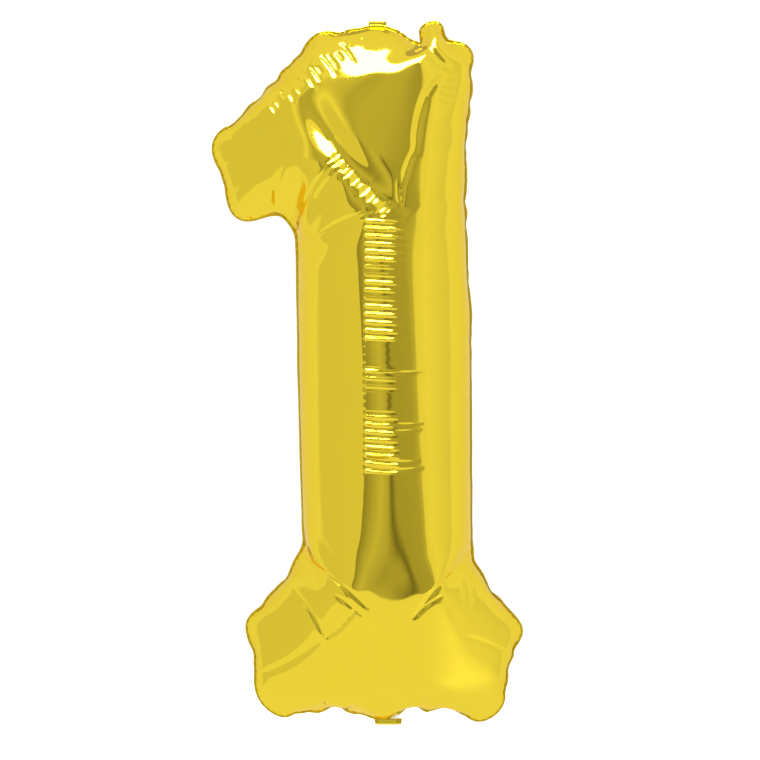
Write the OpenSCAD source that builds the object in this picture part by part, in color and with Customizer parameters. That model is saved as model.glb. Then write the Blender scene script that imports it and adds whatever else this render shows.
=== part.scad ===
// Foil number balloon, numeral one, inflated.
// Two foil panels are heat-sealed round the outline. A flat two-ply valve runs
// from the filling tail through the bottom seam into the gas space.
// The numeral faces -Y and stands along +Z. The origin is the middle of the
// hole in the hanging tab, at the top of the balloon.

/* [Outline] */
// Height between the bottom and top seams
num_h = 852; // [720:1:1020]
// Width of the stem between its seams
stem_w = 199; // [165:1:235]
// Width of the foot along its bottom seam
foot_w = 306; // [270:1:360]
// Width of the foot where it is widest
flare_w = 344; // [310:1:400]
// Height at which the foot is widest
flare_z = 106; // [80:1:125]
// Height at which the foot runs into the stem
ankle_z = 204; // [180:1:245]
// How far the flag reaches to the left of the stem's middle
flag_reach = 210; // [180:1:250]
// How far below the top seam the flag's upper corner lies
flag_drop = 140; // [115:1:165]
// Height of the flag's outer end
flag_end_h = 88; // [70:1:105]
// How far the flag's lower corner is set in from its upper one
flag_end_in = 26; // [15:1:40]
// How much lower than its outer end the flag meets the stem
flag_root_drop = 16; // [5:1:25]
// How far left of the stem's middle the top seam starts
top_left = 90; // [60:1:95]

/* [Corners] */
// Radius of the foot's bottom corners
foot_r = 38; // [20:1:45]
// Radius of the foot's widest corners
flare_r = 28; // [15:1:35]
// Radius of the hollow where the foot meets the stem
ankle_r = 60; // [40:1:80]
// Radius of the top right corner
head_r = 48; // [30:1:60]
// Radius at the left end of the top seam
crown_r = 40; // [25:1:55]
// Radius of the flag's upper corner
flag_r = 26; // [15:1:35]
// Radius of the flag's lower corner
flag_tip_r = 16; // [10:1:20]
// Radius of the hollow under the flag
armpit_r = 50; // [30:1:60]

/* [Inflation] */
// Depth of the inflated stem, front to back
body_d = 206; // [170:1:240]
// Depth of the foot where it is widest
foot_d = 150; // [110:1:180]
// Length over which the top tapers to its seam
crown_taper = 150; // [120:1:200]
// How full the ends are, 0.5 is round and 1 is a straight wedge
end_fullness = 0.62; // [0.5:0.01:0.9]

/* [Film] */
// Thickness of one foil panel
film_t = 0.6; // [0.4:0.1:1.0]
// Width of the flat heat seal outside the gas space
seal_w = 4; // [3:0.5:8]
// How far the heat seal laps inside the panels' rims
seal_lap = 2; // [1.5:0.5:4]

/* [Valve] */
// Thickness of one valve film
valve_t = 0.5; // [0.3:0.1:0.8]
// Slot left between the two valve films
valve_slot = 0.2; // [0.1:0.05:0.4]
// Width of the valve films
valve_w = 24; // [16:1:32]
// Length of the valve inside the balloon, up to the flap
valve_in = 78; // [50:1:110]
// Length of the one-way flap
flap_l = 26; // [15:1:35]
// Width of the flap
flap_w = 18; // [12:1:22]
// How far left or right of the stem's middle the valve sits
valve_x = 5; // [-20:1:20]
// Clearance beside a film that moves or passes through
film_gap = 0.3; // [0.2:0.1:0.6]

/* [Tail] */
// Width of the filling tail
tail_w = 34; // [26:1:44]
// Length of the filling tail
tail_l = 62; // [45:1:80]
// How far the valve's mouth is set back from the tail's end
mouth_in = 9; // [4:1:15]
// Radius of the thumb notch in the front of the tail
thumb_r = 9; // [6:1:12]

/* [Hanging tab] */
// Width of the hanging tab
tab_w = 22; // [18:1:30]
// Radius of the hole in the hanging tab
hole_r = 2.5; // [1.5:0.5:4]
// Distance from the tab's fold to the hole
hole_l = 12; // [9:1:16]
// How far left or right of the stem's middle the tab sits
tab_x = -8; // [-25:1:25]

/* [Hidden] */

// The valve is two films with a slot between them.
valve_pack = 2 * valve_t + valve_slot;
// The heat seal is two films thick, or as thick as the valve that crosses it.
seal_t = max(2 * film_t, valve_pack);
// The tail is two foil films with the valve between them.
tail_t = valve_pack + 2 * film_t;

// The folds sit just outside the seal, and each film starts clear of its fold.
fold_gap = 0.5;
tail_fold_z = -seal_w - fold_gap;
tail_root = tail_t / 2 + film_gap;
tab_fold_z = num_h + seal_w + fold_gap;
tab_root = seal_t / 2 + film_gap;

// Facets: arcs of the outline, rows up the numeral, points across a row
ARC_STEPS = 7;
ROWS = 30;
ACROSS = 22;

// Corners of the numeral, anticlockwise seen from the front: x, z, radius
CORNERS = [
    [-foot_w / 2, 0, foot_r],
    [foot_w / 2, 0, foot_r],
    [flare_w / 2, flare_z, flare_r],
    [stem_w / 2, ankle_z, ankle_r],
    [stem_w / 2, num_h, head_r],
    [-top_left, num_h, crown_r],
    [-flag_reach, num_h - flag_drop, flag_r],
    [-flag_reach + flag_end_in, num_h - flag_drop - flag_end_h, flag_tip_r],
    [-stem_w / 2, num_h - flag_drop - flag_end_h - flag_root_drop, armpit_r],
    [-stem_w / 2, ankle_z, ankle_r],
    [-flare_w / 2, flare_z, flare_r],
];

function unit(v) = v / norm(v);
function wrap(a) = a > 180 ? a - 360 : a < -180 ? a + 360 : a;
function angle_of(v) = atan2(v[1], v[0]);

// One corner as an arc, moved outward by off
function corner_arc(i, off) =
    let (n = len(CORNERS),
         p = [CORNERS[i][0], CORNERS[i][1]],
         before = CORNERS[(i + n - 1) % n],
         after = CORNERS[(i + 1) % n],
         a = unit([before[0], before[1]] - p),
         b = unit([after[0], after[1]] - p),
         r = CORNERS[i][2],
         half = acos(a * b) / 2,
         centre = p + unit(a + b) * r / sin(half),
         start = angle_of(p + a * r / tan(half) - centre),
         sweep = wrap(angle_of(p + b * r / tan(half) - centre) - start),
         reach = sweep > 0 ? r + off : r - off)
    [for (k = [0:ARC_STEPS])
        let (t = start + sweep * k / ARC_STEPS) centre + reach * [cos(t), sin(t)]];

// The whole outline, moved outward by off
function outline(off) = [for (i = [0:len(CORNERS) - 1]) each corner_arc(i, off)];

// Left and right ends of the outline at height z
function span(ring, z) =
    let (n = len(ring),
         hits = [for (i = [0:n - 1])
             let (p = ring[i], q = ring[(i + 1) % n])
             if ((p[1] <= z && q[1] > z) || (q[1] <= z && p[1] > z))
                 p[0] + (q[0] - p[0]) * (z - p[1]) / (q[1] - p[1])])
    [min(hits), max(hits)];

// Half depth of the balloon at height z, for a numeral from low to high
function end_taper(d, length) = d >= length ? 1 : pow(sin(90 * d / length), end_fullness);
function half_depth(z, low, high, off) =
    let (foot_share = foot_d / body_d,
         foot = end_taper(z - low, flare_z),
         waist = z < flare_z ? foot_share
               : z > ankle_z ? 1
               : foot_share + (1 - foot_share) * (1 - cos(180 * (z - flare_z) / (ankle_z - flare_z))) / 2)
    (body_d / 2 + off) * waist * foot * end_taper(high - z, crown_taper);

// Heights of the rows: even steps, with every arc's points added
function sorted(v) =
    len(v) < 2 ? v
    : let (pivot = v[floor(len(v) / 2)])
      concat(sorted([for (x = v) if (x < pivot) x]), [pivot], sorted([for (x = v) if (x > pivot) x]));
function thinned(v, least) =
    [for (i = 0, last = v[0]; i < len(v);
          last = v[i] - last >= least ? v[i] : last, i = i + 1)
        if (i == 0 || i == len(v) - 1 || (v[i] - last >= least && v[len(v) - 1] - v[i] >= least)) v[i]];
LEAST_ROW = 3.2;
ROW_HEIGHTS = thinned(sorted(concat(
    [for (p = outline(0)) round(p[1] * 10) / 10],
    [for (k = [0:ROWS]) num_h * k / ROWS])), LEAST_ROW);

// Rows of points over one half of the balloon, moved outward by off
function dome_rows(off) =
    let (ring = outline(off),
         low = -off,
         high = num_h + off,
         edge = 0.01)
    [for (z0 = ROW_HEIGHTS)
        let (z = low + (high - low) * z0 / num_h,
             ends = span(ring, min(max(z, low + edge), high - edge)),
             mid = (ends[0] + ends[1]) / 2,
             half = (ends[1] - ends[0]) / 2,
             depth = half_depth(z, low, high, off))
        [for (k = [0:ACROSS])
            let (t = 180 * k / ACROSS) [mid - half * cos(t), -depth * sin(t), z]]];

// A panel: the outer dome, the same dome set in by the film, and the rim
module dome_shell() {
    rows = len(ROW_HEIGHTS);
    cols = ACROSS + 1;
    outer = dome_rows(0);
    inner = dome_rows(-film_t);
    points = [for (surface = [outer, inner]) for (row = surface) each row];
    size = rows * cols;
    rim = concat(
        [for (k = [0:cols - 1]) k],
        [for (i = [1:rows - 1]) i * cols + cols - 1],
        [for (k = [cols - 2:-1:0]) (rows - 1) * cols + k],
        [for (i = [rows - 2:-1:1]) i * cols]);
    faces = concat(
        [for (i = [0:rows - 2], k = [0:cols - 2])
            let (a = i * cols + k, b = a + 1, c = a + cols, d = c + 1)
            each [[a, d, b], [a, c, d]]],
        [for (i = [0:rows - 2], k = [0:cols - 2])
            let (a = size + i * cols + k, b = a + 1, c = a + cols, d = c + 1)
            each [[a, b, d], [a, d, c]]],
        [for (i = [0:len(rim) - 1])
            let (p = rim[i], q = rim[(i + 1) % len(rim)])
            each [[p, q, size + q], [p, size + q, size + p]]]);
    polyhedron(points, faces, convexity = 6);
}

// Moves a piece from the numeral's own frame, bottom seam at z = 0, to the
// frame of the hanging hole.
module place() {
    translate([-tab_x, -hole_l, -tab_fold_z]) children();
}

// A flat film in the seam plane: x and z ranges, and y from near to far
module flat_film(x, width, z, height, near, far) {
    translate([x - width / 2, near, z]) cube([width, far - near, height]);
}

// Turns a film that was drawn upright on its fold so that it points backward
module folded_back(fold_z) {
    translate([0, 0, fold_z]) rotate([-90, 0, 0]) children();
}

module front_panel() {
    color("gold") place() translate([0, -seal_t / 2, 0]) dome_shell();
}

module back_panel() {
    color("goldenrod") place() mirror([0, 1, 0]) translate([0, -seal_t / 2, 0]) dome_shell();
}

module perimeter_seal() {
    color("darkgoldenrod") place() difference() {
        rotate([90, 0, 0]) linear_extrude(seal_t, center = true) difference() {
            polygon(outline(seal_w));
            polygon(outline(-seal_lap));
        }
        flat_film(valve_x, valve_w + 2 * film_gap, -2 * seal_w, 2 * seal_w + 2 * seal_lap, -seal_t, seal_t);
    }
}

module valve_front_film() {
    color("lightcyan") place()
        flat_film(valve_x, valve_w, -seal_w, valve_in + seal_w, -valve_pack / 2, -valve_slot / 2);
}

module valve_back_film() {
    color("lightblue") place()
        flat_film(valve_x, valve_w, -seal_w, valve_in + film_gap + flap_l + seal_w, valve_slot / 2, valve_pack / 2);
}

module valve_flap() {
    color("paleturquoise") place()
        flat_film(valve_x, flap_w, valve_in + film_gap, flap_l, -valve_pack / 2, -valve_slot / 2);
}

// One foil film of the tail, with the thumb notch in the front one
module tail_front_film() {
    color("gold") place() folded_back(tail_fold_z) difference() {
        flat_film(valve_x, tail_w, tail_root, tail_l, tail_t / 2 - film_t, tail_t / 2);
        translate([valve_x, tail_t / 2, tail_root + tail_l]) rotate([90, 0, 0])
            cylinder(h = 4 * film_t, r = thumb_r, center = true, $fn = 48);
    }
}

module tail_back_film() {
    color("goldenrod") place() folded_back(tail_fold_z)
        flat_film(valve_x, tail_w, tail_root, tail_l, -tail_t / 2, -tail_t / 2 + film_t);
}

module inlet_front_film() {
    color("lightcyan") place() folded_back(tail_fold_z)
        flat_film(valve_x, valve_w, tail_root, tail_l - mouth_in, valve_slot / 2, valve_pack / 2);
}

module inlet_back_film() {
    color("lightblue") place() folded_back(tail_fold_z)
        flat_film(valve_x, valve_w, tail_root, tail_l - mouth_in, -valve_pack / 2, -valve_slot / 2);
}

module hanging_tab() {
    color("darkgoldenrod") place() folded_back(tab_fold_z) difference() {
        union() {
            flat_film(tab_x, tab_w, tab_root, hole_l - tab_root, -seal_t / 2, seal_t / 2);
            intersection() {
                translate([tab_x, 0, hole_l]) rotate([90, 0, 0])
                    cylinder(h = seal_t, r = tab_w / 2, center = true, $fn = 64);
                flat_film(tab_x, tab_w, hole_l, tab_w / 2, -seal_t, seal_t);
            }
        }
        translate([tab_x, 0, hole_l]) rotate([90, 0, 0])
            cylinder(h = 2 * seal_t, r = hole_r, center = true, $fn = 48);
    }
}

front_panel();
back_panel();
perimeter_seal();
valve_front_film();
valve_back_film();
valve_flap();
tail_front_film();
tail_back_film();
inlet_front_film();
inlet_back_film();
hanging_tab();
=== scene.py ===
"""Gold foil balloon, numeral one: the looks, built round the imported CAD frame.

The two film panels start as the flat cut that such a balloon is welded from. Blender's
cloth blows them up, and the result is ironed, split into finer triangles and creased.
Then come the heat-sealed rim, the filling tail and the hanging tab.
"""
import math

import bpy
import numpy as np
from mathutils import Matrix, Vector
from mathutils.geometry import delaunay_2d_cdt


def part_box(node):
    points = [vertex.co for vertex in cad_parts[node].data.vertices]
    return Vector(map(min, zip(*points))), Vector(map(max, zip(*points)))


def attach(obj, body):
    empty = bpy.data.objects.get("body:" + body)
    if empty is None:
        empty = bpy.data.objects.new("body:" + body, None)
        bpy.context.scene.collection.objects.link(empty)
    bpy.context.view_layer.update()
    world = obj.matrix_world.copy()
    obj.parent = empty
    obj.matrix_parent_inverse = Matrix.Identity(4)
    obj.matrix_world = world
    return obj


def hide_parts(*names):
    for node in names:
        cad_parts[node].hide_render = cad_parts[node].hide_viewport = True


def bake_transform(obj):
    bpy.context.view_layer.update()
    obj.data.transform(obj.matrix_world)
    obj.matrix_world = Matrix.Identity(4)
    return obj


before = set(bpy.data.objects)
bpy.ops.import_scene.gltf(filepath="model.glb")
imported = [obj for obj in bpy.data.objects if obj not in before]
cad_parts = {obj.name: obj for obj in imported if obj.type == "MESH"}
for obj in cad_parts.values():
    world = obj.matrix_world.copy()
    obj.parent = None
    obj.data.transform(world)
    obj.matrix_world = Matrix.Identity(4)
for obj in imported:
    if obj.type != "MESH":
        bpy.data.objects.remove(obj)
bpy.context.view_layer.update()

MM = 0.001

# ---------------------------------------------------------------- places in the frame
seal_low, seal_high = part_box("perimeter_seal")
tail_low, tail_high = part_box("tail_back_film")
tab_low, tab_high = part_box("hanging_tab")
SEAL_W = 4 * MM
FOLD_GAP = 0.5 * MM
TAIL_FROM_STEM = 5 * MM
SEAM_Y = (seal_low[1] + seal_high[1]) / 2
LOW_SEAM_Z = seal_low[2] + SEAL_W
TAIL_X = (tail_low[0] + tail_high[0]) / 2
TAB_X = (tab_low[0] + tab_high[0]) / 2
STEM_X = TAIL_X - TAIL_FROM_STEM
TAIL_FOLD_Z = seal_low[2] - FOLD_GAP
TAB_FOLD_Z = seal_high[2] + FOLD_GAP


# ---------------------------------------------------------------- camera
def look(obj, target):
    """Turns an object's -Z axis to the target."""
    obj.rotation_euler = (Vector(target) - obj.location).to_track_quat("-Z", "Y").to_euler()


CAMERA_DISTANCE = 4.0
VIEW_WIDTH = 0.931
VIEW_FAR = 60
target = (STEM_X - 5 * MM, SEAM_Y, seal_low[2] + 421 * MM)
camera_data = bpy.data.cameras.new("camera")
camera = bpy.data.objects.new("camera", camera_data)
bpy.context.scene.collection.objects.link(camera)
bpy.context.scene.camera = camera
camera.location = (target[0], target[1] - CAMERA_DISTANCE, target[2])
look(camera, target)
camera_data.lens = camera_data.sensor_width * CAMERA_DISTANCE / VIEW_WIDTH
camera_data.clip_end = VIEW_FAR


# ---------------------------------------------------------------- flat cut
# Corners of the flat cut, anticlockwise from the front: x from the stem's middle,
# z from the bottom seam, corner radius, in millimetres. Blown up, the stem draws in
# to 0.64 of its flat width and the ends less.
CUT = [
    (-156, 0, 60), (-60, -9, 60), (4, -16, 60), (68, -9, 60), (158, 2, 50),
    (199, 116, 30), (168, 224, 90), (160, 520, 300), (144, 800, 60), (136, 856, 30),
    (108, 874, 14), (99, 896, 16), (72, 901, 14), (57, 889, 8), (4, 905, 150),
    (-82, 894, 50), (-158, 838, 120), (-233, 772, 42), (-236, 668, 34),
    (-174, 634, 90), (-158, 228, 90), (-192, 114, 30),
]


def cut_outline(step):
    """The cut's outline with its corners rounded, as points a step apart, in metres."""
    points = []
    for i, (x, z, radius) in enumerate(CUT):
        corner = np.array([x, z], float)
        before = np.array(CUT[i - 1][:2], float) - corner
        after = np.array(CUT[(i + 1) % len(CUT)][:2], float) - corner
        long_a, long_b = np.linalg.norm(before), np.linalg.norm(after)
        before, after = before / long_a, after / long_b
        half = math.acos(max(-1, min(1, before @ after))) / 2
        reach = min(radius / math.tan(half), 0.48 * long_a, 0.48 * long_b)
        radius = reach * math.tan(half)
        bisector = (before + after) / np.linalg.norm(before + after)
        centre = corner + bisector * radius / math.sin(half)
        first, last = corner + before * reach - centre, corner + after * reach - centre
        start = math.atan2(first[1], first[0])
        sweep = (math.atan2(last[1], last[0]) - start + math.pi) % (2 * math.pi) - math.pi
        count = max(2, int(abs(sweep) * radius / 2) + 1)
        for k in range(count + 1):
            angle = start + sweep * k / count
            points.append(centre + radius * np.array([math.cos(angle), math.sin(angle)]))
    points = np.array(points + [points[0]])
    along = np.r_[0, np.cumsum(np.linalg.norm(np.diff(points, axis=0), axis=1))]
    places = np.linspace(0, along[-1], int(round(along[-1] / (step / MM))), endpoint=False)
    return np.stack([np.interp(places, along, points[:, k]) for k in range(2)], 1) * MM


def inside(ring, points):
    """Which points lie inside a closed ring."""
    x, z = points.T
    hit = np.zeros(len(points), bool)
    for (x1, z1), (x2, z2) in zip(ring, np.roll(ring, -1, 0)):
        crosses = (z1 > z) != (z2 > z)
        rise = z2 - z1 if z2 != z1 else 1e-12
        hit ^= crosses & (x < (x2 - x1) * (z - z1) / rise + x1)
    return hit


def distance(ring, points):
    """Each point's distance from a closed ring."""
    nearest = np.full(len(points), np.inf)
    for a, b in zip(ring, np.roll(ring, -1, 0)):
        t = np.clip((points - a) @ (b - a) / ((b - a) @ (b - a)), 0, 1)
        nearest = np.minimum(nearest, np.linalg.norm(points - (a + t[:, None] * (b - a)), axis=1))
    return nearest


def flat_layers(step):
    """Two flat layers of triangles that share their outline's points.

    Returns the points (x, 0, z), the faces, front layer first, and each point's
    distance from the seam, which is negative on the front layer.
    """
    ring = cut_outline(step)
    low, high = ring.min(0), ring.max(0)
    rows = np.arange(low[1], high[1], step * math.sqrt(3) / 2)
    lattice = []
    for j, z in enumerate(rows):
        x = np.arange(low[0] + (step / 2 if j % 2 else 0), high[0], step)
        lattice.append(np.stack([x, np.full(len(x), z)], 1))
    lattice = np.concatenate(lattice)
    lattice = lattice[inside(ring, lattice)]
    lattice = lattice[distance(ring, lattice) > 0.55 * step]
    lattice += np.random.default_rng(1).normal(0, 0.04 * step, lattice.shape)
    both = np.concatenate([ring, lattice])
    edges = [(i, (i + 1) % len(ring)) for i in range(len(ring))]
    made = delaunay_2d_cdt([Vector(p) for p in both], edges, [list(range(len(ring)))], 1, 1e-9)
    points = np.array([p[:] for p in made[0]])
    front = np.array([list(f) for f in made[2]])
    on_seam = np.zeros(len(points), bool)
    on_seam[seam_edges(front).ravel()] = True
    twin = np.where(on_seam, np.arange(len(points)), len(points) + np.cumsum(~on_seam) - 1)
    flat = np.concatenate([points, points[~on_seam]])
    depth = distance(ring, flat)
    depth[:len(points)] *= -1
    depth[np.flatnonzero(on_seam)] = 0
    faces = np.concatenate([front, twin[front][:, ::-1]])
    return np.stack([flat[:, 0], np.zeros(len(flat)), flat[:, 1]], 1), faces, depth


def seam_edges(layer):
    """The edges that only one face of a layer uses, each in its face's direction."""
    edges = np.concatenate([layer[:, [0, 1]], layer[:, [1, 2]], layer[:, [2, 0]]])
    _, first, uses = np.unique(np.sort(edges, 1), axis=0, return_index=True, return_counts=True)
    return edges[first[uses == 1]]


def split(faces, points_count):
    """Splits each triangle in four.

    Returns the pairs of ends that the new points lie between, and the new faces.
    """
    edges = np.concatenate([faces[:, [0, 1]], faces[:, [1, 2]], faces[:, [2, 0]]])
    ends, which = np.unique(np.sort(edges, 1), axis=0, return_inverse=True)
    a, b, c = which.reshape(3, -1) + points_count
    p, q, r = faces.T
    quarters = [(p, a, c), (a, q, b), (c, b, r), (a, b, c)]
    halves = [np.stack(t, 1).reshape(2, -1, 3) for t in quarters]
    return ends, np.concatenate([h[0] for h in halves] + [h[1] for h in halves])


def smooth_split(points, faces):
    """Loop's subdivision of the closed two-layer film, with the seam kept as a crease."""
    ends, finer = split(faces, len(points))
    half = len(faces) // 2
    seam = np.sort(seam_edges(faces[:half]), 1)
    on_seam = np.zeros(len(points), bool)
    on_seam[seam.ravel()] = True
    code = ends[:, 0] * len(points) + ends[:, 1]
    seam_edge = np.isin(code, seam[:, 0] * len(points) + seam[:, 1])
    # new points: 3/8 of each end and 1/8 of each opposite corner
    edges = np.concatenate([faces[:, [0, 1]], faces[:, [1, 2]], faces[:, [2, 0]]])
    across = np.concatenate([faces[:, 2], faces[:, 0], faces[:, 1]])
    _, which = np.unique(np.sort(edges, 1), axis=0, return_inverse=True)
    opposite = np.zeros((len(ends), 3))
    np.add.at(opposite, which.reshape(-1), points[across])
    middle = (points[ends[:, 0]] + points[ends[:, 1]]) / 2
    new = np.where(seam_edge[:, None], middle, 0.75 * middle + opposite / 8)
    # old points move towards their neighbours' middle
    total, count = np.zeros_like(points), np.zeros(len(points))
    for a, b in (ends.T, ends.T[::-1]):
        np.add.at(total, a, points[b])
        np.add.at(count, a, 1)
    beta = (5 / 8 - (3 / 8 + np.cos(2 * np.pi / count) / 4) ** 2)[:, None]
    moved = (1 - beta) * points + beta * total / count[:, None]
    along = np.zeros_like(points)
    for a, b in (seam.T, seam.T[::-1]):
        np.add.at(along, a, points[b])
    moved[on_seam] = 0.75 * points[on_seam] + along[on_seam] / 8
    return np.concatenate([moved, new]), finer


# ---------------------------------------------------------------- inflation
# A low stiffness in compression lets the film shrink along the seams, as it does by puckering.
CLOTH_STEP = 9 * MM
CLOTH_FRAMES = 40
PRESSURE = 10
SQUEEZE_STIFFNESS = 3
STRETCH_STIFFNESS = 80
BEND_STIFFNESS = 0.05
DAMPING = 5
START_BULGE = 0.6
START_RIM = 10 * MM
IRONING_ROUNDS = 14
SPLITS = 2


def blow_up(flat, start, faces):
    """Runs cloth with pressure from start, with the flat cut as its rest shape."""
    mesh = bpy.data.meshes.new("film")
    mesh.from_pydata(start.tolist(), [], faces.tolist())
    film = bpy.data.objects.new("film", mesh)
    bpy.context.scene.collection.objects.link(film)
    film.shape_key_add(name="start")
    rest = film.shape_key_add(name="flat")
    rest.data.foreach_set("co", flat.astype(np.float32).ravel())
    cloth = film.modifiers.new("cloth", "CLOTH")
    how = cloth.settings
    how.rest_shape_key = rest
    how.quality = 8
    how.mass = 0.1
    how.air_damping = 2
    how.tension_stiffness = how.shear_stiffness = STRETCH_STIFFNESS
    how.compression_stiffness = SQUEEZE_STIFFNESS
    how.bending_stiffness = BEND_STIFFNESS
    how.tension_damping = how.compression_damping = how.shear_damping = DAMPING
    how.bending_damping = 0.5
    how.use_pressure = True
    how.uniform_pressure_force = PRESSURE
    how.effector_weights.gravity = 0
    cloth.collision_settings.use_collision = False
    cloth.collision_settings.use_self_collision = False
    cloth.point_cache.frame_start, cloth.point_cache.frame_end = 1, CLOTH_FRAMES
    for number in range(1, CLOTH_FRAMES + 1):
        bpy.context.scene.frame_set(number)
    shown = film.evaluated_get(bpy.context.evaluated_depsgraph_get())
    result = np.zeros(len(start) * 3, np.float32)
    shown.to_mesh().vertices.foreach_get("co", result)
    shown.to_mesh_clear()
    bpy.data.objects.remove(film)
    bpy.context.scene.frame_set(1)
    return result.reshape(-1, 3).astype(float)


def inflated_film():
    """The inflated film's points and its faces, front layer first."""
    flat, faces, depth = flat_layers(CLOTH_STEP)
    start = flat.copy()
    start[:, 1] = START_BULGE * np.clip(depth, -START_RIM, START_RIM)
    return blow_up(flat, start, faces), faces


def ironed(points, faces, rounds):
    """Smooths wrinkles as small as one triangle. The seam stays.

    Each round pulls the points towards their neighbours' middle and then pushes them back a
    little further, so that the shape as a whole doesn't shrink.
    """
    edges = np.concatenate([faces[:, [0, 1]], faces[:, [1, 2]], faces[:, [2, 0]]])
    ends = np.unique(np.sort(edges, 1), axis=0)
    free = np.ones(len(points), bool)
    free[seam_edges(faces[:len(faces) // 2]).ravel()] = False
    count = np.bincount(ends.ravel(), minlength=len(points))[:, None]
    for share in (0.5, -0.52) * rounds:
        total = np.zeros_like(points)
        np.add.at(total, ends[:, 0], points[ends[:, 1]])
        np.add.at(total, ends[:, 1], points[ends[:, 0]])
        points = points + share * free[:, None] * (total / count - points)
    return points


film, faces = inflated_film()
film = ironed(film, faces, IRONING_ROUNDS)
for _ in range(SPLITS):
    film, faces = smooth_split(film, faces)
film += np.array([STEM_X, SEAM_Y, LOW_SEAM_Z - film[:, 2].min()])
follows = dict(seam_edges(faces[:len(faces) // 2]).tolist())
loop = [next(iter(follows))]
while follows[loop[-1]] != loop[0]:
    loop.append(follows[loop[-1]])


# ---------------------------------------------------------------- creases
# Places are (x from the stem's middle, z from the lowest edge), in millimetres.
PLEAT = 9.4
# The pleated strip down the stem: left, right, low, high
PLEATED = (-23, 21, 309, 612)
# Heights between which the strip is almost smooth
SMOOTH_GAPS = [(385, 407), (436, 468)]
# How far from the seam the relief reaches its full height
RELIEF_FADE = 7
# Valleys in the film: from, to, half width, depth
CREASES = [
    # the fan where the flag meets the stem
    ((4, 628), (-99, 584), 2.4, 1.9), ((-50, 692), (-109, 612), 2.4, 1.9),
    ((-128, 675), (-132, 627), 2.2, 1.3), ((-119, 684), (-128, 648), 2.2, 1.3),
    ((10, 619), (-58, 600), 2.4, 1.2), ((-42, 684), (-80, 642), 2.2, 1.1),
    # the flag's end
    ((-206, 724), (-186, 716), 3.0, 1.2), ((-206, 684), (-186, 690), 3.0, 1.2),
    ((-196, 644), (-176, 660), 3.0, 1.2),
    # the head
    ((75, 792), (52, 764), 4.5, 2.2), ((54, 772), (38, 688), 5.0, 2.6), ((38, 700), (20, 634), 4.0, 2.2),
    ((47, 838), (82, 796), 5.0, 2.4), ((66, 787), (90, 789), 2.4, 1.1), ((66, 777), (90, 780), 2.4, 1.1),
    ((67, 768), (88, 770), 2.4, 1.1), ((68, 758), (86, 760), 2.4, 1.0), ((17, 668), (22, 626), 3.0, 1.8),
    # long pleats on the stem
    ((-24, 436), (50, 431), 2.2, 1.5), ((-22, 373), (48, 369), 2.2, 1.4), ((-20, 363), (46, 362), 2.0, 1.2),
    ((-22, 328), (44, 324), 2.2, 1.4), ((-24, 317), (48, 316), 2.2, 1.4),
    # the foot
    ((-18, 146), (-102, 205), 2.6, 2.4), ((-26, 138), (-78, 172), 2.4, 1.5),
    ((-72, 112), (-115, 172), 2.8, 2.4), ((86, 190), (38, 138), 2.8, 2.4),
    ((74, 164), (34, 134), 2.4, 1.4), ((-160, 58), (-72, 112), 4.0, 1.4),
    ((166, 76), (96, 112), 4.0, 1.4), ((92, 152), (96, 178), 2.4, 1.2), ((102, 146), (108, 172), 2.4, 1.2),
    ((-69, 109), (-61, 124), 2.4, 2.0), ((-62, 113), (-54, 129), 2.4, 2.0),
    ((-55, 119), (-47, 135), 2.4, 1.9), ((-49, 126), (-41, 142), 2.4, 1.8),
    ((-43, 133), (-36, 147), 2.4, 1.6),
    ((-72, 12), (-79, 38), 3.0, 2.2), ((-48, 15), (-30, 33), 2.6, 1.5),
    ((22, 33), (38, 16), 2.6, 1.5), ((66, 48), (48, 18), 2.8, 1.8),
]
# The deep trough from the flag's middle to the stem: a lit flank with short pleats over it
TROUGH = ((-96, 768), (28, 616), 17, 10.5)
# Rows of short pleats square to an edge: from, to, length, depth. The first FINE_ROWS of
# them are crisp enough to need finer triangles.
FINE_ROWS = 2
PUCKER_HALF_WIDTH = 2.2
PUCKERS = [
    ((-141, 757), (-42, 823), 20, 1.9), ((-62, 690), (8, 622), 18, 1.3),
    ((-196, 730), (-160, 752), 16, 0.7), ((-48, 834), (36, 838), 12, 0.8),
    ((-170, 628), (-110, 608), 18, 0.7),
]
# A valley bows sideways by this share of its length, and runs out over this share at each end
BOW = 0.05
RUN_OUT = 0.3125
# Triangles are split within this distance of a crease, or this share of a short pleat's length
FINE_MARGIN = 3.1
FINE_SHARE = 0.7


def refine(points, faces, chosen):
    """Splits the chosen triangles in four and their neighbours to match."""
    edges = np.concatenate([faces[:, [0, 1]], faces[:, [1, 2]], faces[:, [2, 0]]])
    ends, which = np.unique(np.sort(edges, 1), axis=0, return_inverse=True)
    which = which.reshape(3, -1)
    marked = np.zeros(len(ends), bool)
    marked[which[:, chosen].ravel()] = True
    middle = (len(points) + np.cumsum(marked) - 1)[which]
    hit = marked[which]
    count = hit.sum(0)
    made = [faces[count == 0]]
    full = count == 3
    p, q, r = faces[full].T
    a, b, c = middle[:, full]
    made += [np.stack(t, 1) for t in ((p, a, c), (a, q, b), (c, b, r), (a, b, c))]
    for k in range(3):
        p, q, r = (faces[:, (k + j) % 3] for j in range(3))
        one = (count == 1) & hit[k]
        m = middle[k]
        made += [np.stack(t, 1)[one] for t in ((p, m, r), (m, q, r))]
        two = (count == 2) & ~hit[k]
        m, n = middle[(k + 1) % 3], middle[(k + 2) % 3]
        made += [np.stack(t, 1)[two] for t in ((m, r, n), (p, q, m), (p, m, n))]
    return np.concatenate([points, points[ends[marked]].mean(1)]), np.concatenate(made)


def smooth_step(value, low, high):
    """0 below low, 1 above high and an even curve between."""
    t = np.clip((value - low) / (high - low), 0, 1)
    return t * t * (3 - 2 * t)


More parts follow.
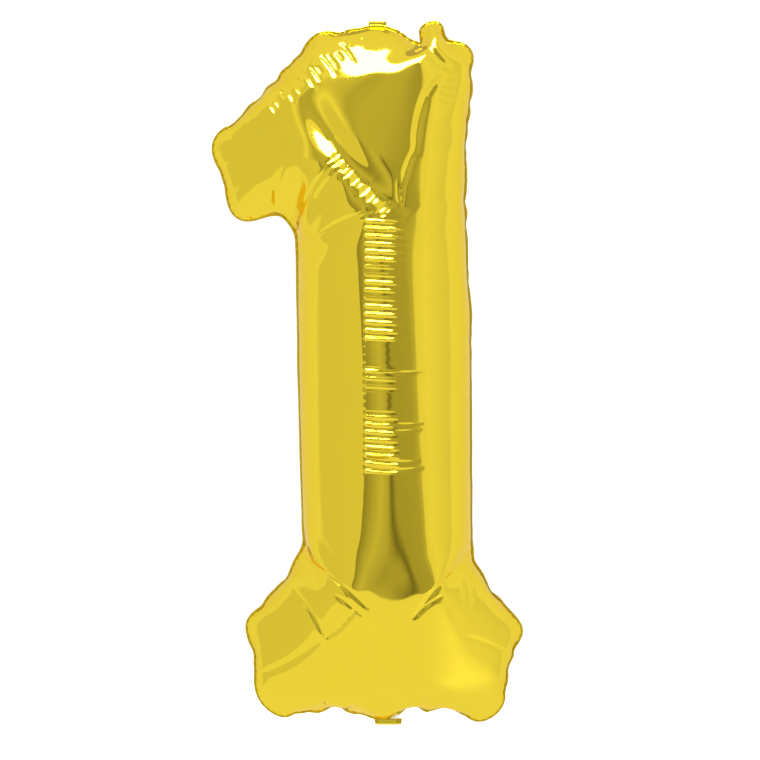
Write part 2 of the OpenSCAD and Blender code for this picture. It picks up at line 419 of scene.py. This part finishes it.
def valley(x, z, start, end, half_width, depth):
    """A groove along a line that runs out at both ends."""
    start, end = np.array(start, float), np.array(end, float)
    run = end - start
    length = np.linalg.norm(run)
    t = ((x - start[0]) * run[0] + (z - start[1]) * run[1]) / length ** 2
    bow = BOW * length * np.sin(math.pi * np.clip(t, 0, 1))
    across = ((x - start[0]) * -run[1] + (z - start[1]) * run[0]) / length + bow
    ends = np.clip(np.minimum(t, 1 - t) / RUN_OUT, 0, 1)
    return -depth * ends ** 0.7 * np.exp(-(across / half_width) ** 2)


def from_line(x, z, start, end):
    """Each point's distance from the line between two places."""
    start = np.array(start, float)
    run = np.array(end, float) - start
    t = np.clip(((x - start[0]) * run[0] + (z - start[1]) * run[1]) / (run @ run), 0, 1)
    return np.hypot(x - start[0] - t * run[0], z - start[1] - t * run[1])


def relief(x, z):
    """How far the film stands out of its smooth shape, in millimetres."""
    height = np.zeros(len(x))
    left, right, low, high = PLEATED
    strip = smooth_step(x, left - 1.5, left + 1.5) * (1 - smooth_step(x, right - 18, right + 4))
    strip *= smooth_step(z, low - 3, low + 3) * (1 - smooth_step(z, high - 5, high + 5))
    for gap_low, gap_high in SMOOTH_GAPS:
        past_low = smooth_step(z, gap_low - 3, gap_low + 3)
        past_high = smooth_step(z, gap_high - 3, gap_high + 3)
        strip *= 1 - 0.85 * past_low * (1 - past_high)
    lean = 0.06 * x + 1.2 * np.sin(z / 31)
    phase = 2 * math.pi * (z + lean) / PLEAT
    strength = 1.15 + 0.2 * np.sin(z / 23) + 0.2 * np.sin(z / 5.3 + 1)
    height += strip * strength * (np.cos(phase) + 0.22 * np.cos(2 * phase))
    for crease in CREASES + [TROUGH]:
        height += valley(x, z, *crease)
    for start, end, length, depth in PUCKERS:
        start, end = np.array(start, float), np.array(end, float)
        run = (end - start) / np.linalg.norm(end - start)
        square = np.array([-run[1], run[0]])
        count = int(np.linalg.norm(end - start) / PLEAT)
        for k in range(count + 1):
            middle = start + run * (k * PLEAT + 2.0 * math.sin(3.7 * k))
            reach = length * (0.75 + 0.35 * math.sin(2.1 * k + 1))
            low_end, high_end = middle - square * reach, middle + square * reach * 0.6
            height += valley(x, z, low_end, high_end, PUCKER_HALF_WIDTH, depth)
    return height


def on_numeral(points):
    """Each point's x from the stem's middle and z from the lowest edge, in millimetres."""
    return (points[:, 0] - STEM_X) / MM, (points[:, 2] - seal_low[2]) / MM


def needs_finer(x, z):
    """Where the relief is too fine for the film's triangles."""
    left, right, low, high = PLEATED
    fine = (x > left - 3) & (x < right + 4) & (z > low - 4) & (z < high + 6)
    for start, end, _, _ in CREASES:
        fine |= from_line(x, z, start, end) < FINE_MARGIN
    for start, end, length, _ in PUCKERS[:FINE_ROWS]:
        fine |= from_line(x, z, start, end) < FINE_SHARE * length
    return fine


def creased(points, faces):
    """Moves a layer's points along their normals by the relief, which fades out at the seam."""
    corners = points[faces]
    face_normal = np.cross(corners[:, 1] - corners[:, 0], corners[:, 2] - corners[:, 0])
    normal = np.zeros_like(points)
    for k in range(3):
        np.add.at(normal, faces[:, k], face_normal)
    normal /= np.maximum(np.linalg.norm(normal, axis=1, keepdims=True), 1e-12)
    used = np.unique(faces)
    place = points[used]
    fade = smooth_step(distance(points[loop][::2, [0, 2]], place[:, [0, 2]]) / MM, 0, RELIEF_FADE)
    points[used] += normal[used] * (relief(*on_numeral(place)) * fade)[:, None] * MM
    return points


layers = []
for layer in np.split(faces, 2):
    film, layer = refine(film, layer, needs_finer(*on_numeral(film[layer].mean(1))))
    film = creased(film, layer)
    layers.append(layer)


# ---------------------------------------------------------------- meshes
def new_object(name, points, corners, material, smooth):
    """A mesh object with one material, smooth shaded or flat."""
    mesh = bpy.data.meshes.new(name)
    mesh.from_pydata(np.asarray(points).tolist(), [], np.asarray(corners).tolist())
    mesh.polygons.foreach_set("use_smooth", np.full(len(mesh.polygons), smooth))
    mesh.materials.append(material)
    made = bpy.data.objects.new(name, mesh)
    bpy.context.scene.collection.objects.link(made)
    return made


def envelope_piece(name, points, corners, material, slot):
    """A smooth piece with one material that rides on the envelope. The slot argument is not used."""
    piece = new_object(name, points, corners, material, True)
    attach(piece, "envelope")
    return piece


def only_used(points, corners):
    """Drops the points that no face uses."""
    used, which = np.unique(corners, return_inverse=True)
    return points[used], which.reshape(corners.shape)


# ---------------------------------------------------------------- materials
GOLD = (0.92, 0.705, 0.024, 1)
GOLD_DEEP = (0.90, 0.68, 0.03, 1)
# The film stays gold at grazing angles, where bare metal would turn white
GOLD_GRAZING = (1, 0.82, 0.25, 1)


def gold_film(name, roughness, grain, grain_depth):
    """Metallised film: a clear coat over metal, with slow waves and a fine grain."""
    material = bpy.data.materials.new(name)
    material.use_nodes = True
    nodes, links = material.node_tree.nodes, material.node_tree.links
    shader = nodes["Principled BSDF"]
    shader.inputs["Metallic"].default_value = 1
    shader.inputs["Roughness"].default_value = roughness
    shader.inputs["Specular Tint"].default_value = GOLD_GRAZING
    shader.inputs["Coat Weight"].default_value = 0.4
    shader.inputs["Coat Roughness"].default_value = 0.03
    place = nodes.new("ShaderNodeTexCoord")
    waves = nodes.new("ShaderNodeTexNoise")
    waves.inputs["Scale"].default_value = 38
    waves.inputs["Detail"].default_value = 1
    fine = nodes.new("ShaderNodeTexVoronoi")
    fine.inputs["Scale"].default_value = grain
    tint = nodes.new("ShaderNodeMix")
    tint.data_type = "RGBA"
    tint.inputs["A"].default_value = GOLD
    tint.inputs["B"].default_value = GOLD_DEEP
    slow = nodes.new("ShaderNodeBump")
    slow.inputs["Distance"].default_value = 0.3 * MM
    slow.inputs["Strength"].default_value = 0.25
    bump = nodes.new("ShaderNodeBump")
    bump.inputs["Distance"].default_value = grain_depth
    bump.inputs["Strength"].default_value = 0.5
    links.new(place.outputs["Object"], waves.inputs["Vector"])
    links.new(place.outputs["Object"], fine.inputs["Vector"])
    links.new(waves.outputs["Fac"], tint.inputs["Factor"])
    links.new(tint.outputs["Result"], shader.inputs["Base Color"])
    links.new(waves.outputs["Fac"], slow.inputs["Height"])
    links.new(slow.outputs["Normal"], bump.inputs["Normal"])
    links.new(fine.outputs["Distance"], bump.inputs["Height"])
    links.new(bump.outputs["Normal"], shader.inputs["Normal"])
    return material


def valve_film():
    """Clear, slightly milky film."""
    material = bpy.data.materials.new("clear valve film")
    material.use_nodes = True
    shader = material.node_tree.nodes["Principled BSDF"]
    shader.inputs["Base Color"].default_value = (0.9, 0.92, 0.9, 1)
    shader.inputs["Roughness"].default_value = 0.12
    shader.inputs["IOR"].default_value = 1.51
    shader.inputs["Alpha"].default_value = 0.4
    return material


film_gold = gold_film("gold film", roughness=0.05, grain=400, grain_depth=0.005 * MM)
seal_gold = gold_film("sealed gold film", roughness=0.18, grain=900, grain_depth=0.15 * MM)
clear_film = valve_film()


# ---------------------------------------------------------------- film panels
front = envelope_piece("front_film", *only_used(film, layers[0]), film_gold, "foil_film")
back = envelope_piece("back_film", *only_used(film, layers[1]), film_gold, "foil_film")
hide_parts("front_panel")
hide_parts("back_panel")


# ---------------------------------------------------------------- sealed rim
FILM_THICK = 0.25 * MM
# How far each row of the rim's points lies outside the seam
RIM_ROWS = np.array([-0.6, 0.3, 0.9, 1.5, 2.1]) * MM
RIPPLE = 9.4 * MM
RIPPLE_DEPTH = 0.55 * MM
CALM_FROM = 18 * MM
CALM_TO = 32 * MM


def closed_average(values, reach):
    """The mean over each point's neighbours on a closed loop."""
    return np.mean([np.roll(values, k, 0) for k in range(-reach, reach + 1)], 0)


def thicken(piece, thickness):
    """Gives a film its thickness, half to each side."""
    solid = piece.modifiers.new("thickness", "SOLIDIFY")
    solid.thickness = thickness
    solid.offset = 0


def rim_rows(seam):
    """Rows of points along the rim. It ripples, but lies flat near the tail and the tab."""
    tangent = np.roll(seam, -1, 0) - np.roll(seam, 1, 0)
    tangent = closed_average(tangent / np.linalg.norm(tangent, axis=1, keepdims=True), 3)
    outward = np.stack([tangent[:, 2], np.zeros(len(seam)), -tangent[:, 0]], 1)
    outward /= np.linalg.norm(outward, axis=1, keepdims=True)
    along = np.r_[0, np.cumsum(np.linalg.norm(np.diff(seam, axis=0), axis=1))]
    near_fold = np.minimum(np.hypot(seam[:, 0] - TAIL_X, seam[:, 2] - TAIL_FOLD_Z),
                           np.hypot(seam[:, 0] - TAB_X, seam[:, 2] - TAB_FOLD_Z))
    calm = np.clip((near_fold - CALM_FROM) / (CALM_TO - CALM_FROM), 0, 1)
    wave = np.sin(2 * math.pi * along / RIPPLE + 1.5 * np.sin(along / (60 * MM)))
    rows = []
    for offset in RIM_ROWS:
        row = seam + outward * offset
        row = row * 0.5 + closed_average(row, 2) * 0.5
        row[:, 1] += RIPPLE_DEPTH * np.clip(offset / RIM_ROWS[-1], 0, 1) * wave * calm
        rows.append(row)
    return rows


def closed_strips(rows_count, size):
    """The faces between neighbouring rows of points, each row a closed ring."""
    here = np.arange(size)
    there = (here + 1) % size
    strips = []
    for k in range(rows_count - 1):
        low, high = k * size, (k + 1) * size
        strips.append(np.stack([low + here, high + here, high + there, low + there], 1))
    return np.concatenate(strips)


seam = film[loop]
rim_points = np.concatenate(rim_rows(seam))
rim_faces = closed_strips(len(RIM_ROWS), len(seam))
rim = envelope_piece("sealed_rim", rim_points, rim_faces, seal_gold, "sealed_foil")
thicken(rim, 2 * FILM_THICK)
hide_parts("perimeter_seal")


# ---------------------------------------------------------------- films that fold at the rim
# The films run up the rim for RISE, end OVERLAP past the seam and turn over the fold at BEND_R
RISE = 4 * MM
OVERLAP = 1 * MM
BEND_R = 1.2 * MM
CORNER_R = 2.5 * MM
NOTCH_R = 9 * MM
TAIL_W = 34 * MM
INLET_W = 24 * MM
TAIL_STEP = 2 * MM
TAB_STEP = 1.5 * MM
# The lattice is finer near the fold
FINE_TO = 6 * MM
FINE_STEP = 0.5 * MM


def rounded(points_from, corner, points_to, radius):
    """An arc that rounds a right-angled corner of an outline."""
    start = corner + (points_from - corner) / np.linalg.norm(points_from - corner) * radius
    end = corner + (points_to - corner) / np.linalg.norm(points_to - corner) * radius
    centre = start + end - corner
    t = np.linspace(0, math.pi / 2, 7)
    return [centre + (start - centre) * math.cos(a) + (end - centre) * math.sin(a) for a in t]


def cut_sheet(outline, step, holes=()):
    """Triangulates a flat cut with holes: its points (x, distance past the fold) and faces."""
    outline = np.array(outline)
    rings = [outline] + [np.array(hole) for hole in holes]
    low, high = outline.min(0), outline.max(0)
    across = np.arange(low[0] + step / 2, high[0], step)
    down = np.r_[np.arange(low[1] + step / 2, FINE_TO, FINE_STEP), np.arange(FINE_TO, high[1], step)]
    lattice = np.stack(np.meshgrid(across, down), -1).reshape(-1, 2)
    keep = inside(outline, lattice)
    for ring in rings:
        keep &= distance(ring, lattice) > 0.3 * step
    for ring in rings[1:]:
        keep &= ~inside(ring, lattice)
    both = np.concatenate(rings + [lattice[keep]])
    edges, start = [], 0
    for ring in rings:
        edges += [(start + i, start + (i + 1) % len(ring)) for i in range(len(ring))]
        start += len(ring)
    made = delaunay_2d_cdt([Vector(p) for p in both], edges, [list(range(len(outline)))], 1, 1e-9)
    points = np.array([p[:] for p in made[0]])
    corners = np.array([list(f) for f in made[2]])
    for ring in rings[1:]:
        corners = corners[~inside(ring, points[corners].mean(1))]
    return points, corners


def fold_over(points, fold_z, side, offset):
    """Lays a flat cut over a fold: down the rim, round the bend and backward.

    side is 1 where the rim is above the fold and -1 where it is below. offset is how far
    each point lies outside the fold's middle layer.
    """
    x, s = points.T
    quarter = BEND_R * math.pi / 2
    seam_z = fold_z + side * (SEAL_W + FOLD_GAP)
    # the height counts most, so that the seam's other side isn't found
    part = np.abs(seam[:, 0, None] - x) + 10 * np.abs(seam[:, 2, None] - seam_z)
    nearest = seam[part.argmin(0)]
    top = np.maximum(side * (nearest[:, 2] - fold_z) + OVERLAP - BEND_R, 2 * MM)
    share = np.clip(-s / RISE, 0, 1)
    turn = np.clip(s / BEND_R, 0, math.pi / 2)
    y = SEAM_Y + (nearest[:, 1] - SEAM_Y) * share
    y += BEND_R * (1 - np.cos(turn)) + np.maximum(s - quarter, 0)
    z = fold_z + side * (BEND_R * (1 - np.sin(turn)) + top * share)
    flutter = np.clip((s - 8 * MM) / (30 * MM), 0, 1) * MM
    crinkle = flutter * (0.5 * np.sin(s / (9 * MM) + 40 * x) + 0.35 * np.sin(x / (5 * MM) + s / (21 * MM)))
    return np.stack([x, y - offset * np.cos(turn), z - side * offset * np.sin(turn) + crinkle], 1)


def tail_outline(width, length, notch):
    """The tail's cut, from the rim to its free end, with a thumb notch if notch isn't 0."""
    left, right = TAIL_X - width / 2, TAIL_X + width / 2
    start, end = np.array([left, -RISE]), np.array([right, -RISE])
    far_right, far_left = np.array([right, length]), np.array([left, length])
    outline = [start + (end - start) * k / 8 for k in range(9)]
    outline += rounded(end, far_right, far_left, CORNER_R)
    if notch:
        for angle in np.linspace(0, math.pi, 15):
            outline.append(np.array([TAIL_X + notch * math.cos(angle), length - notch * math.sin(angle)]))
    outline += rounded(far_right, far_left, start, CORNER_R)
    return outline


def folded_piece(name, cut, fold_z, side, offset, material):
    """A film that turns over a fold at the envelope's rim."""
    points, corners = cut
    piece = new_object(name, fold_over(points, fold_z, side, offset), corners, material, True)
    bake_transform(piece)
    thicken(piece, FILM_THICK)
    return piece


def tail_piece(name, cut, offset, material):
    """A film that folds at the bottom rim."""
    return folded_piece(name, cut, TAIL_FOLD_Z, 1, offset, material)


def round_inlet(points):
    """How far a tail film stands off its middle: it wraps the inlet and is welded beside it."""
    beside = np.clip((np.abs(points[:, 0] - TAIL_X) - INLET_W / 2 - 0.2 * MM) / (2.5 * MM), 0, 1)
    return 0.16 * MM + 0.74 * MM * (1 - beside ** 2 * (3 - 2 * beside))


TAIL_LENGTH = tail_high[1] - SEAM_Y
inlet_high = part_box("inlet_back_film")[1]
INLET_LENGTH = inlet_high[1] - SEAM_Y
INLET_OFFSET = 0.3 * MM
plain = cut_sheet(tail_outline(TAIL_W, TAIL_LENGTH, 0), TAIL_STEP)
notched = cut_sheet(tail_outline(TAIL_W, TAIL_LENGTH, NOTCH_R), TAIL_STEP)
inlet = cut_sheet(tail_outline(INLET_W, INLET_LENGTH, 0), TAIL_STEP)
tail_front = tail_piece("tail_front", notched, round_inlet(notched[0]), film_gold)
tail_back = tail_piece("tail_back", plain, -round_inlet(plain[0]), film_gold)
inlet_front = tail_piece("inlet_front", inlet, INLET_OFFSET, clear_film)
inlet_back = tail_piece("inlet_back", inlet, -INLET_OFFSET, clear_film)
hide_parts("tail_front_film")
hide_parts("tail_back_film")
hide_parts("inlet_front_film")
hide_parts("inlet_back_film")

# The tab: a straight tongue with a round end and the hole at the frame's origin
TAB_R = (tab_high[0] - tab_low[0]) / 2
HOLE_R = 2.5 * MM
reach = -SEAM_Y - BEND_R + BEND_R * math.pi / 2
tongue = [np.array([TAB_X + TAB_R * t, -RISE]) for t in np.linspace(-1, 1, 9)]
tongue += [np.array([TAB_X + TAB_R * math.cos(a), reach + TAB_R * math.sin(a)])
           for a in np.linspace(0, math.pi, 25)]
hole = [np.array([TAB_X + HOLE_R * math.cos(a), reach + HOLE_R * math.sin(a)])
        for a in np.linspace(0, 2 * math.pi, 32, endpoint=False)]
tongue_cut = cut_sheet(tongue, TAB_STEP, [hole])
tab = folded_piece("tab", tongue_cut, TAB_FOLD_Z, -1, 0.0, seal_gold)
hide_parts("hanging_tab")

# The valve keeps its CAD solids
for node in ("valve_front_film", "valve_back_film", "valve_flap"):
    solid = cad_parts[node]
    solid.data.materials.clear()
    solid.data.materials.append(clear_film)


# ---------------------------------------------------------------- sheets
def cut_measures():
    """The flat cut's width and height, and its area."""
    ring = cut_outline(2 * MM)
    x, z = ring.T
    area = abs(np.sum(x * np.roll(z, -1) - z * np.roll(x, -1))) / 2
    return tuple(ring.max(0) - ring.min(0)), area


cut_size, cut_area = cut_measures()


# ---------------------------------------------------------------- studio
def emitter(name, azimuth, elevation, distance, width, height, radiance):
    """A softbox that faces the balloon's middle. Azimuth 0 is at the camera, 90 at +X."""
    data = bpy.data.lights.new(name, "AREA")
    data.shape = "RECTANGLE"
    data.size, data.size_y = width, height
    data.energy = radiance * math.pi * width * height
    lamp = bpy.data.objects.new(name, data)
    bpy.context.scene.collection.objects.link(lamp)
    a, e = math.radians(azimuth), math.radians(elevation)
    offset = Vector((math.sin(a) * math.cos(e), -math.cos(a) * math.cos(e), math.sin(e)))
    lamp.location = Vector(target) + offset * distance
    look(lamp, target)
    lamp.visible_camera = False
    return lamp


def reflected(name, points, corners, level):
    """A card with an even glow that only the film's reflections see."""
    material = bpy.data.materials.new(name)
    material.use_nodes = True
    nodes = material.node_tree.nodes
    nodes.clear()
    glow = nodes.new("ShaderNodeEmission")
    glow.inputs["Color"].default_value = (level, level, level, 1)
    out = nodes.new("ShaderNodeOutputMaterial")
    material.node_tree.links.new(glow.outputs[0], out.inputs["Surface"])
    piece = new_object(name, points, corners, material, False)
    piece.visible_camera = piece.visible_diffuse = piece.visible_shadow = False
    return piece


# The brightness of the studio round the balloon, by azimuth in degrees: 0 is at the
# camera and 90 at +X. The film reflects it as upright strips. The stem sees the first
# row, and the head, which leans back, sees the second.
STRIPS = [
    (-180, 0.5), (-168, 0.5), (-160, 0.82), (-104, 0.9), (-97, 0.74), (-28, 0.77), (-27, 0.3),
    (-14, 0.5), (-4, 0.62), (4, 0.5), (8, 0.18), (13, 0.41), (38, 0.44), (45, 0.56), (47, 0.85),
    (60, 0.92), (95, 0.78), (100, 0.92), (160, 0.85), (168, 0.5), (180, 0.5),
]
HIGH_STRIPS = [
    (-180, 0.5), (-168, 0.5), (-160, 0.82), (-104, 0.9), (-97, 0.74), (-53, 0.74), (-44, 0.95),
    (-38, 0.74), (-26, 0.5), (-10, 0.56), (12, 0.54), (30, 0.43), (43, 0.4), (47, 0.85), (60, 0.92),
    (95, 0.78), (100, 0.92), (160, 0.85), (168, 0.5), (180, 0.5),
]


def paint(piece, levels):
    """Gives each point of a reflected card its own brightness."""
    colour = np.ones((len(levels), 4))
    colour[:, :3] = np.array(levels)[:, None]
    layer = piece.data.color_attributes.new("level", "FLOAT_COLOR", "POINT")
    layer.data.foreach_set("color", colour.ravel())
    tree = piece.data.materials[0].node_tree
    level = tree.nodes.new("ShaderNodeVertexColor")
    level.layer_name = "level"
    tree.links.new(level.outputs["Color"], tree.nodes["Emission"].inputs["Color"])


def glowing_floor(height, half, level, glow_at, radius, more):
    """A level card with one soft bright patch."""
    count = 81
    steps = np.linspace(-half, half, count)
    x, y = (part.ravel() for part in np.meshgrid(steps, steps))
    corners = [(j * count + i, j * count + i + 1, (j + 1) * count + i + 1, (j + 1) * count + i)
               for j in range(count - 1) for i in range(count - 1)]
    piece = reflected("floor_card", np.stack([x, y, np.full(len(x), height)], 1), corners, 1)
    away = (x - glow_at[0]) ** 2 + (y - glow_at[1]) ** 2
    paint(piece, level + more * np.exp(-away / radius ** 2))


def surround(rows, distance):
    """One upright card all round the balloon. Each row is its height and its strips."""
    azimuths = np.arange(-180, 181, 1.0)
    angles = np.radians(azimuths)
    edge = np.stack([np.sin(angles), -np.cos(angles)], 1) * distance + np.array(target[:2])
    count = len(angles)
    points = np.concatenate([np.c_[edge, np.full(count, height)] for height, _ in rows])
    corners = [(k * count + i, k * count + i + 1, (k + 1) * count + i + 1, (k + 1) * count + i)
               for k in range(len(rows) - 1) for i in range(count - 1)]
    piece = reflected("surround", points, corners, 1)
    paint(piece, np.concatenate([np.interp(azimuths, *np.array(strips, float).T) for _, strips in rows]))


FLOOR_Z = seal_low[2] - 0.09
FLOOR_HALF = 12
SURROUND_R = 3.0
CARD_LOW = FLOOR_Z - 1.2
STEM_TOP = FLOOR_Z + 1.6
HEAD_LOW = FLOOR_Z + 2.1
CARD_HIGH = FLOOR_Z + 5.4
CARD_HALF = 8
SQUARE = ((-1, -1), (1, -1), (1, 1), (-1, 1))
card_rows = [(CARD_LOW, STRIPS), (STEM_TOP, STRIPS), (HEAD_LOW, HIGH_STRIPS), (CARD_HIGH, HIGH_STRIPS)]
surround(card_rows, SURROUND_R)
glowing_floor(CARD_LOW, CARD_HALF, level=0.92, glow_at=(1.8, -1.2), radius=0.55, more=0.25)
ceiling = [(x * CARD_HALF, y * CARD_HALF, CARD_HIGH) for x, y in SQUARE]
reflected("ceiling_card", ceiling, [(0, 1, 2, 3)], 0.9)
emitter("key_softbox", azimuth=6, elevation=77, distance=2.6, width=1.8, height=1.0, radiance=20)

world = bpy.data.worlds.new("studio")
bpy.context.scene.world = world
world.use_nodes = True
world.node_tree.nodes["Background"].inputs["Color"].default_value = (1, 1, 1, 1)
world.node_tree.nodes["Background"].inputs["Strength"].default_value = 1.15

pale = bpy.data.materials.new("pale floor")
pale.use_nodes = True
pale.node_tree.nodes["Principled BSDF"].inputs["Base Color"].default_value = (0.9, 0.9, 0.9, 1)
pale.node_tree.nodes["Principled BSDF"].inputs["Roughness"].default_value = 0.9
ground = [(x * FLOOR_HALF, y * FLOOR_HALF, FLOOR_Z) for x, y in SQUARE]
floor = new_object("floor", ground, [(0, 1, 2, 3)], pale, False)
floor.visible_glossy = False

bpy.context.scene.view_settings.view_transform = "Standard"
